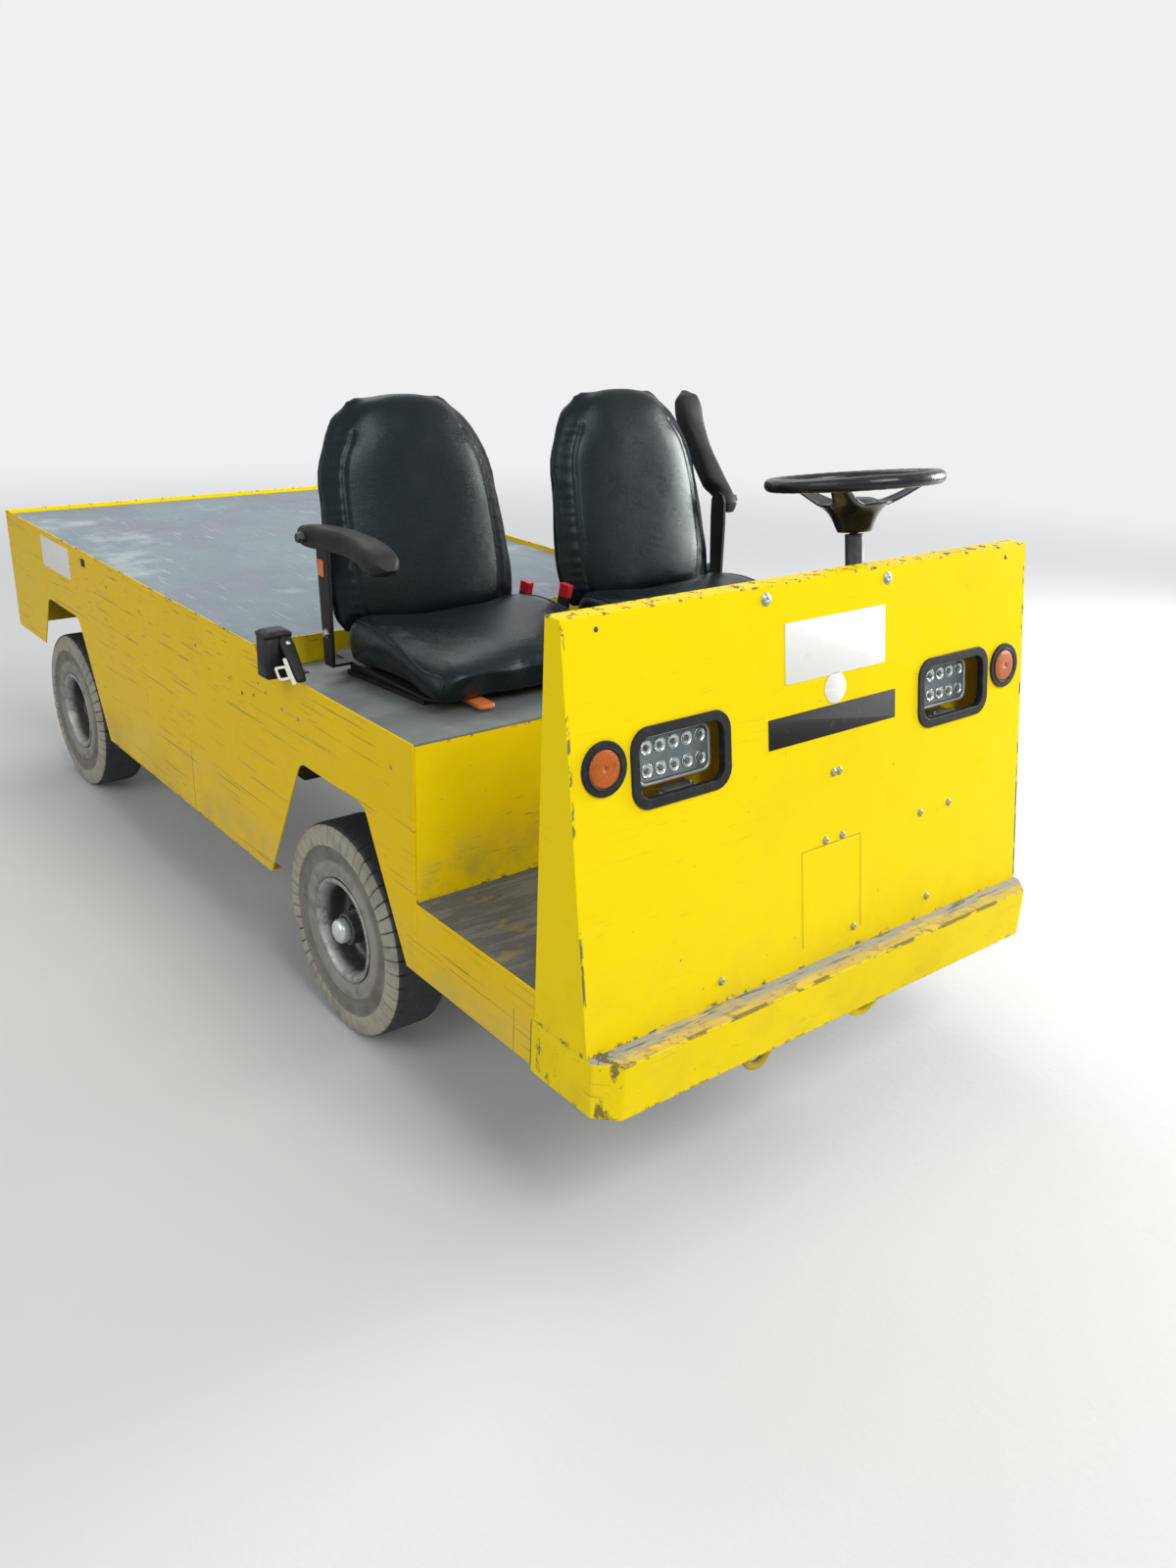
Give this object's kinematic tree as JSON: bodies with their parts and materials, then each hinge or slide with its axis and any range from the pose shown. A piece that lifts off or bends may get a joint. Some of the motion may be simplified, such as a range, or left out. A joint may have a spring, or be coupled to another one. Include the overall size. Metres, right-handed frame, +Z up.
{
  "type": "electric utility vehicle",
  "caption": "Yellow flat-deck electric burden carrier with two seats, upright front cowl, steel cargo deck and front-wheel steering.",
  "frame": {"origin": "middle of the overall box, on the floor", "axes": "+X to the driver's side (the vehicle's left), -Y forwards, +Z up"},
  "size_m": [1.264, 2.969, 1.2935],
  "materials": {
    "yellow_paint": "worn gloss enamel",
    "dash_paint": "worn gloss enamel",
    "deck_steel": "worn, stained steel plate",
    "seat_deck_steel": "worn grey paint",
    "step_plate": "worn grey and yellow anti-slip coat",
    "chassis_paint": "dusty black paint",
    "spring_steel": "dusty black",
    "motor_paint": "satin",
    "battery_case": "matt",
    "lamp_housing": "cast, grey",
    "rubber_black": "dusty",
    "amber_lens": "ribbed lens",
    "red_lens": "ribbed lens",
    "tyre_rubber": "dusty",
    "rim_steel": "dull zinc",
    "seat_vinyl": "black vinyl, slight sheen",
    "seat_frame_steel": "satin black",
    "black_plastic": "satin",
    "red_plastic": "moulded",
    "column_paint": "satin black",
    "pedal_rubber": "matt"
  },
  "bodies": {
    "chassis": {"side_panel_right": "yellow_paint", "side_panel_left": "yellow_paint", "rear_panel": "yellow_paint", "deck_riser": "yellow_paint", "seat_box_front": "yellow_paint", "front_cowl": "yellow_paint", "front_bumper": "yellow_paint", "tow_hooks": "yellow_paint", "dash_panel": "dash_paint", "cargo_deck": "deck_steel", "seat_deck": "seat_deck_steel", "step_floor": "step_plate", "frame_rails": "chassis_paint", "cross_members": "chassis_paint", "deck_stringers": "chassis_paint", "deck_posts": "chassis_paint", "front_axle": "chassis_paint", "rear_axle": "chassis_paint", "front_springs": "spring_steel", "rear_springs": "spring_steel", "drive_motor": "motor_paint", "battery_pack": "battery_case", "headlights": "lamp_housing", "lamp_gaskets": "rubber_black", "marker_lamps": "amber_lens", "tail_lamps": "red_lens", "seat_cushion_right": "seat_vinyl", "seat_cushion_left": "seat_vinyl", "seat_back_right": "seat_vinyl", "seat_back_left": "seat_vinyl", "seat_frame_right": "seat_frame_steel", "seat_frame_left": "seat_frame_steel", "belt_retractors": "black_plastic", "dash_controls": "black_plastic", "belt_buckles": "red_plastic", "steering_column": "column_paint", "pedals": "pedal_rubber"},
    "wheel_front_right": {"tyre_front_right": "tyre_rubber", "rim_front_right": "rim_steel"},
    "wheel_front_left": {"tyre_front_left": "tyre_rubber", "rim_front_left": "rim_steel"},
    "wheel_rear_right": {"tyre_rear_right": "tyre_rubber", "rim_rear_right": "rim_steel"},
    "wheel_rear_left": {"tyre_rear_left": "tyre_rubber", "rim_rear_left": "rim_steel"},
    "knuckle_right": {"knuckle_right": "chassis_paint"},
    "knuckle_left": {"knuckle_left": "chassis_paint"},
    "tie_rod": {"tie_rod": "chassis_paint"},
    "steering_wheel": {"steering_wheel": "black_plastic"},
    "armrest_right": {"armrest_right": "black_plastic"},
    "armrest_left": {"armrest_left": "black_plastic"}
  },
  "joints": [
    {"name": "steer_right", "type": "hinge", "parent": "chassis", "child": "knuckle_right", "pos_m": [-0.398, -0.577, 0.235], "axis": [0, 0, 1], "range_deg": [-30, 30]},
    {"name": "steer_left", "type": "hinge", "parent": "chassis", "child": "knuckle_left", "pos_m": [0.398, -0.577, 0.235], "axis": [0, 0, 1], "range_deg": [-30, 30]},
    {"name": "tie_rod_pivot", "type": "hinge", "parent": "knuckle_right", "child": "tie_rod", "pos_m": [-0.398, -0.457, 0.293], "axis": [0, 0, 1], "range_deg": [-30, 30]},
    {"name": "steering_wheel_turn", "type": "hinge", "parent": "chassis", "child": "steering_wheel", "pos_m": [0.27, -1.138, 1.2], "axis": [0, 0.1573, 0.9875], "range_deg": [-366, 366]},
    {"name": "spin_front_right", "type": "hinge", "parent": "knuckle_right", "child": "wheel_front_right", "pos_m": [-0.494, -0.577, 0.235], "axis": [1, 0, 0], "continuous": true},
    {"name": "spin_front_left", "type": "hinge", "parent": "knuckle_left", "child": "wheel_front_left", "pos_m": [0.494, -0.577, 0.235], "axis": [1, 0, 0], "continuous": true},
    {"name": "spin_rear_right", "type": "hinge", "parent": "chassis", "child": "wheel_rear_right", "pos_m": [-0.482, 1.12, 0.235], "axis": [1, 0, 0], "continuous": true},
    {"name": "spin_rear_left", "type": "hinge", "parent": "chassis", "child": "wheel_rear_left", "pos_m": [0.482, 1.12, 0.235], "axis": [1, 0, 0], "continuous": true},
    {"name": "armrest_right_fold", "type": "hinge", "parent": "chassis", "child": "armrest_right", "pos_m": [-0.517, -0.423, 1.04046], "axis": [-1, 0, 0], "range_deg": [0, 126]},
    {"name": "armrest_left_fold", "type": "hinge", "parent": "chassis", "child": "armrest_left", "pos_m": [0.579, -0.503, 1.04466], "axis": [-1, 0, 0], "range_deg": [-126, 0]}
  ],
  "couplings": [
    {"joint": "steer_left", "follows": "steer_right", "ratio": 1},
    {"joint": "tie_rod_pivot", "follows": "steer_right", "ratio": -1},
    {"joint": "steering_wheel_turn", "follows": "steer_right", "ratio": 12}
  ]
}
